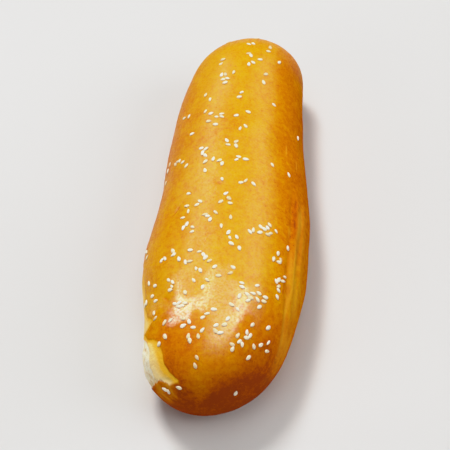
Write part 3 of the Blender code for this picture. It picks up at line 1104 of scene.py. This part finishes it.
def surface_colour(tree):
    """Colour of crust, skin and crumb, by how brown, torn and pale the mesh is there, with painted
    shade in the creases and painted highlight on the skin.
    """
    brown = tree.total(BROWN_EVEN, BROWN_STORED, BROWN_GRAINS)
    brown = tree.sum(brown, tree.between(tree.grain(*SPECK_GRAIN), *SPECK_RANGE), SPECK_BROWN)
    crust = tree.ramp(brown, CRUST_STOPS)
    crust = tree.mix(tree.times(tree.stored("pale"), PALE_COVER), crust, PALE_COLOUR)
    skin = tree.ramp(tree.total(SKIN_EVEN, SKIN_STORED, SKIN_GRAINS), SKIN_STOPS)
    porous = tree.total(0.0, CRUMB_STORED, CRUMB_GRAINS)
    crumb = tree.ramp(tree.between(porous, *CRUMB_RANGE), CRUMB_STOPS)
    colour = tree.mix(tree.between(tree.stored("skin"), *SKIN_RANGE), crust, skin)
    return tree.mix(tree.between(tree.stored("crumb"), *BARE_RANGE), colour, crumb)


def crust_material():
    """Baked, egg-washed crust: golden to brown, mottled, with an orange-peel gloss."""
    tree = Tree("baked_crust")
    patchy = tree.between(tree.grain(*WASH_GRAIN), *WASH_RANGE)
    return tree.finish(
        surface_colour(tree),
        tree.total(CRUST_ROUGHNESS, (), ROUGHNESS_GRAINS),
        CRUST_BUMPS,
        Specular_IOR_Level=0.0,
        Coat_Weight=tree.times(tree.stored("glaze"), patchy),
        Coat_Roughness=WASH_ROUGHNESS,
        Coat_IOR=WASH_IOR,
    )


def torn_material():
    """Bare crumb and thin skin: dull, porous and fibrous."""
    tree = Tree("torn_bread")
    colour = surface_colour(tree)
    return tree.finish(colour, TORN_ROUGHNESS, TORN_BUMPS, Specular_IOR_Level=TORN_SPECULAR)


def seed_material():
    """Hulled sesame: cream white, a little toasted, with a soft gloss and painted shadow at each
    seed's foot.
    """
    tree = Tree("sesame")
    colour = tree.ramp(tree.total(SEED_EVEN, SEED_STORED, SEED_GRAINS), SEED_STOPS)
    toasted = tree.between(tree.stored("tip"), *TOASTED_RANGE)
    colour = tree.mix(toasted, colour, TOASTED_COLOUR)
    # Painted shadow: each seed darkens towards its foot, where it meets the crust.
    foot = tree.between(tree.stored("top"), *SEED_FOOT_SHADOW_RANGE)
    colour = tree.mix(foot, colour, SEED_FOOT_SHADOW_COLOUR)
    return tree.finish(colour, SEED_ROUGHNESS, SEED_BUMPS, Specular_IOR_Level=SEED_SPECULAR)


def floor_material():
    """Plain pale grey, hardly uneven."""
    tree = Tree("pale_floor")
    colour = tree.ramp(tree.grain(*FLOOR_GRAIN), FLOOR_STOPS)
    return tree.finish(colour, FLOOR_ROUGHNESS, FLOOR_BUMPS, Specular_IOR_Level=FLOOR_SPECULAR)


def add_object(name, data):
    """A new object in the scene, for a mesh, a light or a camera."""
    made = bpy.data.objects.new(name, data)
    bpy.context.scene.collection.objects.link(made)
    return made


def fit_to_part(meshes):
    """Moves the meshes together so that they are centred on the part's solid and stand as it does."""
    points = np.concatenate([[v.co[:] for v in mesh.vertices] for mesh in meshes])
    low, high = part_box("bun")
    shift = (low + high) / 2 - Vector((points.min(0) + points.max(0)) / 2)
    shift.z = low.z
    for mesh in meshes:
        mesh.transform(Matrix.Translation(shift))


def make_bun():
    """The crust and the seeds, in place of the part's solid."""
    crust = crust_mesh()
    seeds = seeds_mesh(crust)
    fit_to_part((crust, seeds))
    crust.materials.append(crust_material())
    crust.materials.append(torn_material())
    bare = stored_values(crust, "crumb") + stored_values(crust, "skin") > BARE_SHARE
    for face in crust.polygons:
        face.material_index = int(all(bare[corner] for corner in face.vertices))
    seeds.materials.append(seed_material())
    crust_piece = add_object("crust", crust)
    seeds_piece = add_object("sesame_seeds", seeds)
    for piece, slot in ((crust_piece, "crust"), (seeds_piece, "sesame_seed")):
        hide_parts("bun")
        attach(piece, "root")


def add_floor():
    """A wide level floor that the bun lies on."""
    mesh = bpy.data.meshes.new("floor")
    corners = [
        (x * FLOOR_REACH, y * FLOOR_REACH, 0.0) for x, y in ((-1, -1), (1, -1), (1, 1), (-1, 1))
    ]
    mesh.from_pydata(corners, [], [(0, 1, 2, 3)])
    mesh.materials.append(floor_material())
    add_object("floor", mesh)


def add_light(name, direction, size, power, roll, distance, gloss):
    """An oblong soft light aimed at the bun's middle: seen in its gloss, or lighting it evenly."""
    light = bpy.data.lights.new(name, "AREA")
    light.shape = "RECTANGLE"
    light.size, light.size_y = size
    light.energy = power
    lamp = add_object(name, light)
    aim = Vector((0.0, 0.0, HEIGHT / 2))
    away = Vector(direction).normalized()
    lamp.location = aim + away * distance
    facing = away.to_track_quat("Z", "Y") @ Euler((0.0, 0.0, math.radians(roll))).to_quaternion()
    lamp.rotation_euler = facing.to_euler()
    lamp.visible_glossy = gloss
    lamp.visible_diffuse = not gloss


def light_scene():
    """The softboxes, the lamps and a dim room round them."""
    for softbox in SOFTBOXES:
        add_light(*softbox, SOFTBOX_DISTANCE, gloss=True)
    for lamp in LAMPS:
        add_light(*lamp, LAMP_DISTANCE, gloss=False)
    room = bpy.data.worlds.new("dim_room")
    room.use_nodes = True
    background = room.node_tree.nodes["Background"]
    background.inputs["Color"].default_value = ROOM_COLOUR
    background.inputs["Strength"].default_value = ROOM_LIGHT
    bpy.context.scene.world = room


def add_camera():
    """The photograph's viewpoint, swung the shortest way round to centre the bun."""
    data = bpy.data.cameras.new("camera")
    data.sensor_width = SENSOR
    data.lens = PHOTO_LENS * ENLARGED
    data.clip_start = NEAREST_SEEN
    camera = add_object("camera", data)
    camera.location = CAMERA_AT
    photo_view = Euler((CAMERA_TILT, 0.0, CAMERA_TURN)).to_quaternion()
    ahead = photo_view @ Vector((0.0, 0.0, -1.0))
    swing = ahead.rotation_difference(Vector(CAMERA_AIM) - Vector(CAMERA_AT))
    camera.rotation_euler = (swing @ photo_view).to_euler()
    bpy.context.scene.camera = camera


def set_tones():
    """Plain sRGB with a soft shoulder, so that highlights on the crust keep their colour."""
    view = bpy.context.scene.view_settings
    view.view_transform = "Standard"
    view.use_curve_mapping = True
    curve = view.curve_mapping.curves[ALL_COLOURS]
    curve.points[0].location = (0.0, 0.0)
    curve.points[-1].location = SHOULDER[-1]
    for point in SHOULDER[:-1]:
        curve.points.new(*point)
    view.curve_mapping.clip_max_x = SHOULDER[-1][0]
    view.curve_mapping.update()


make_bun()
add_floor()
light_scene()
add_camera()
set_tones()
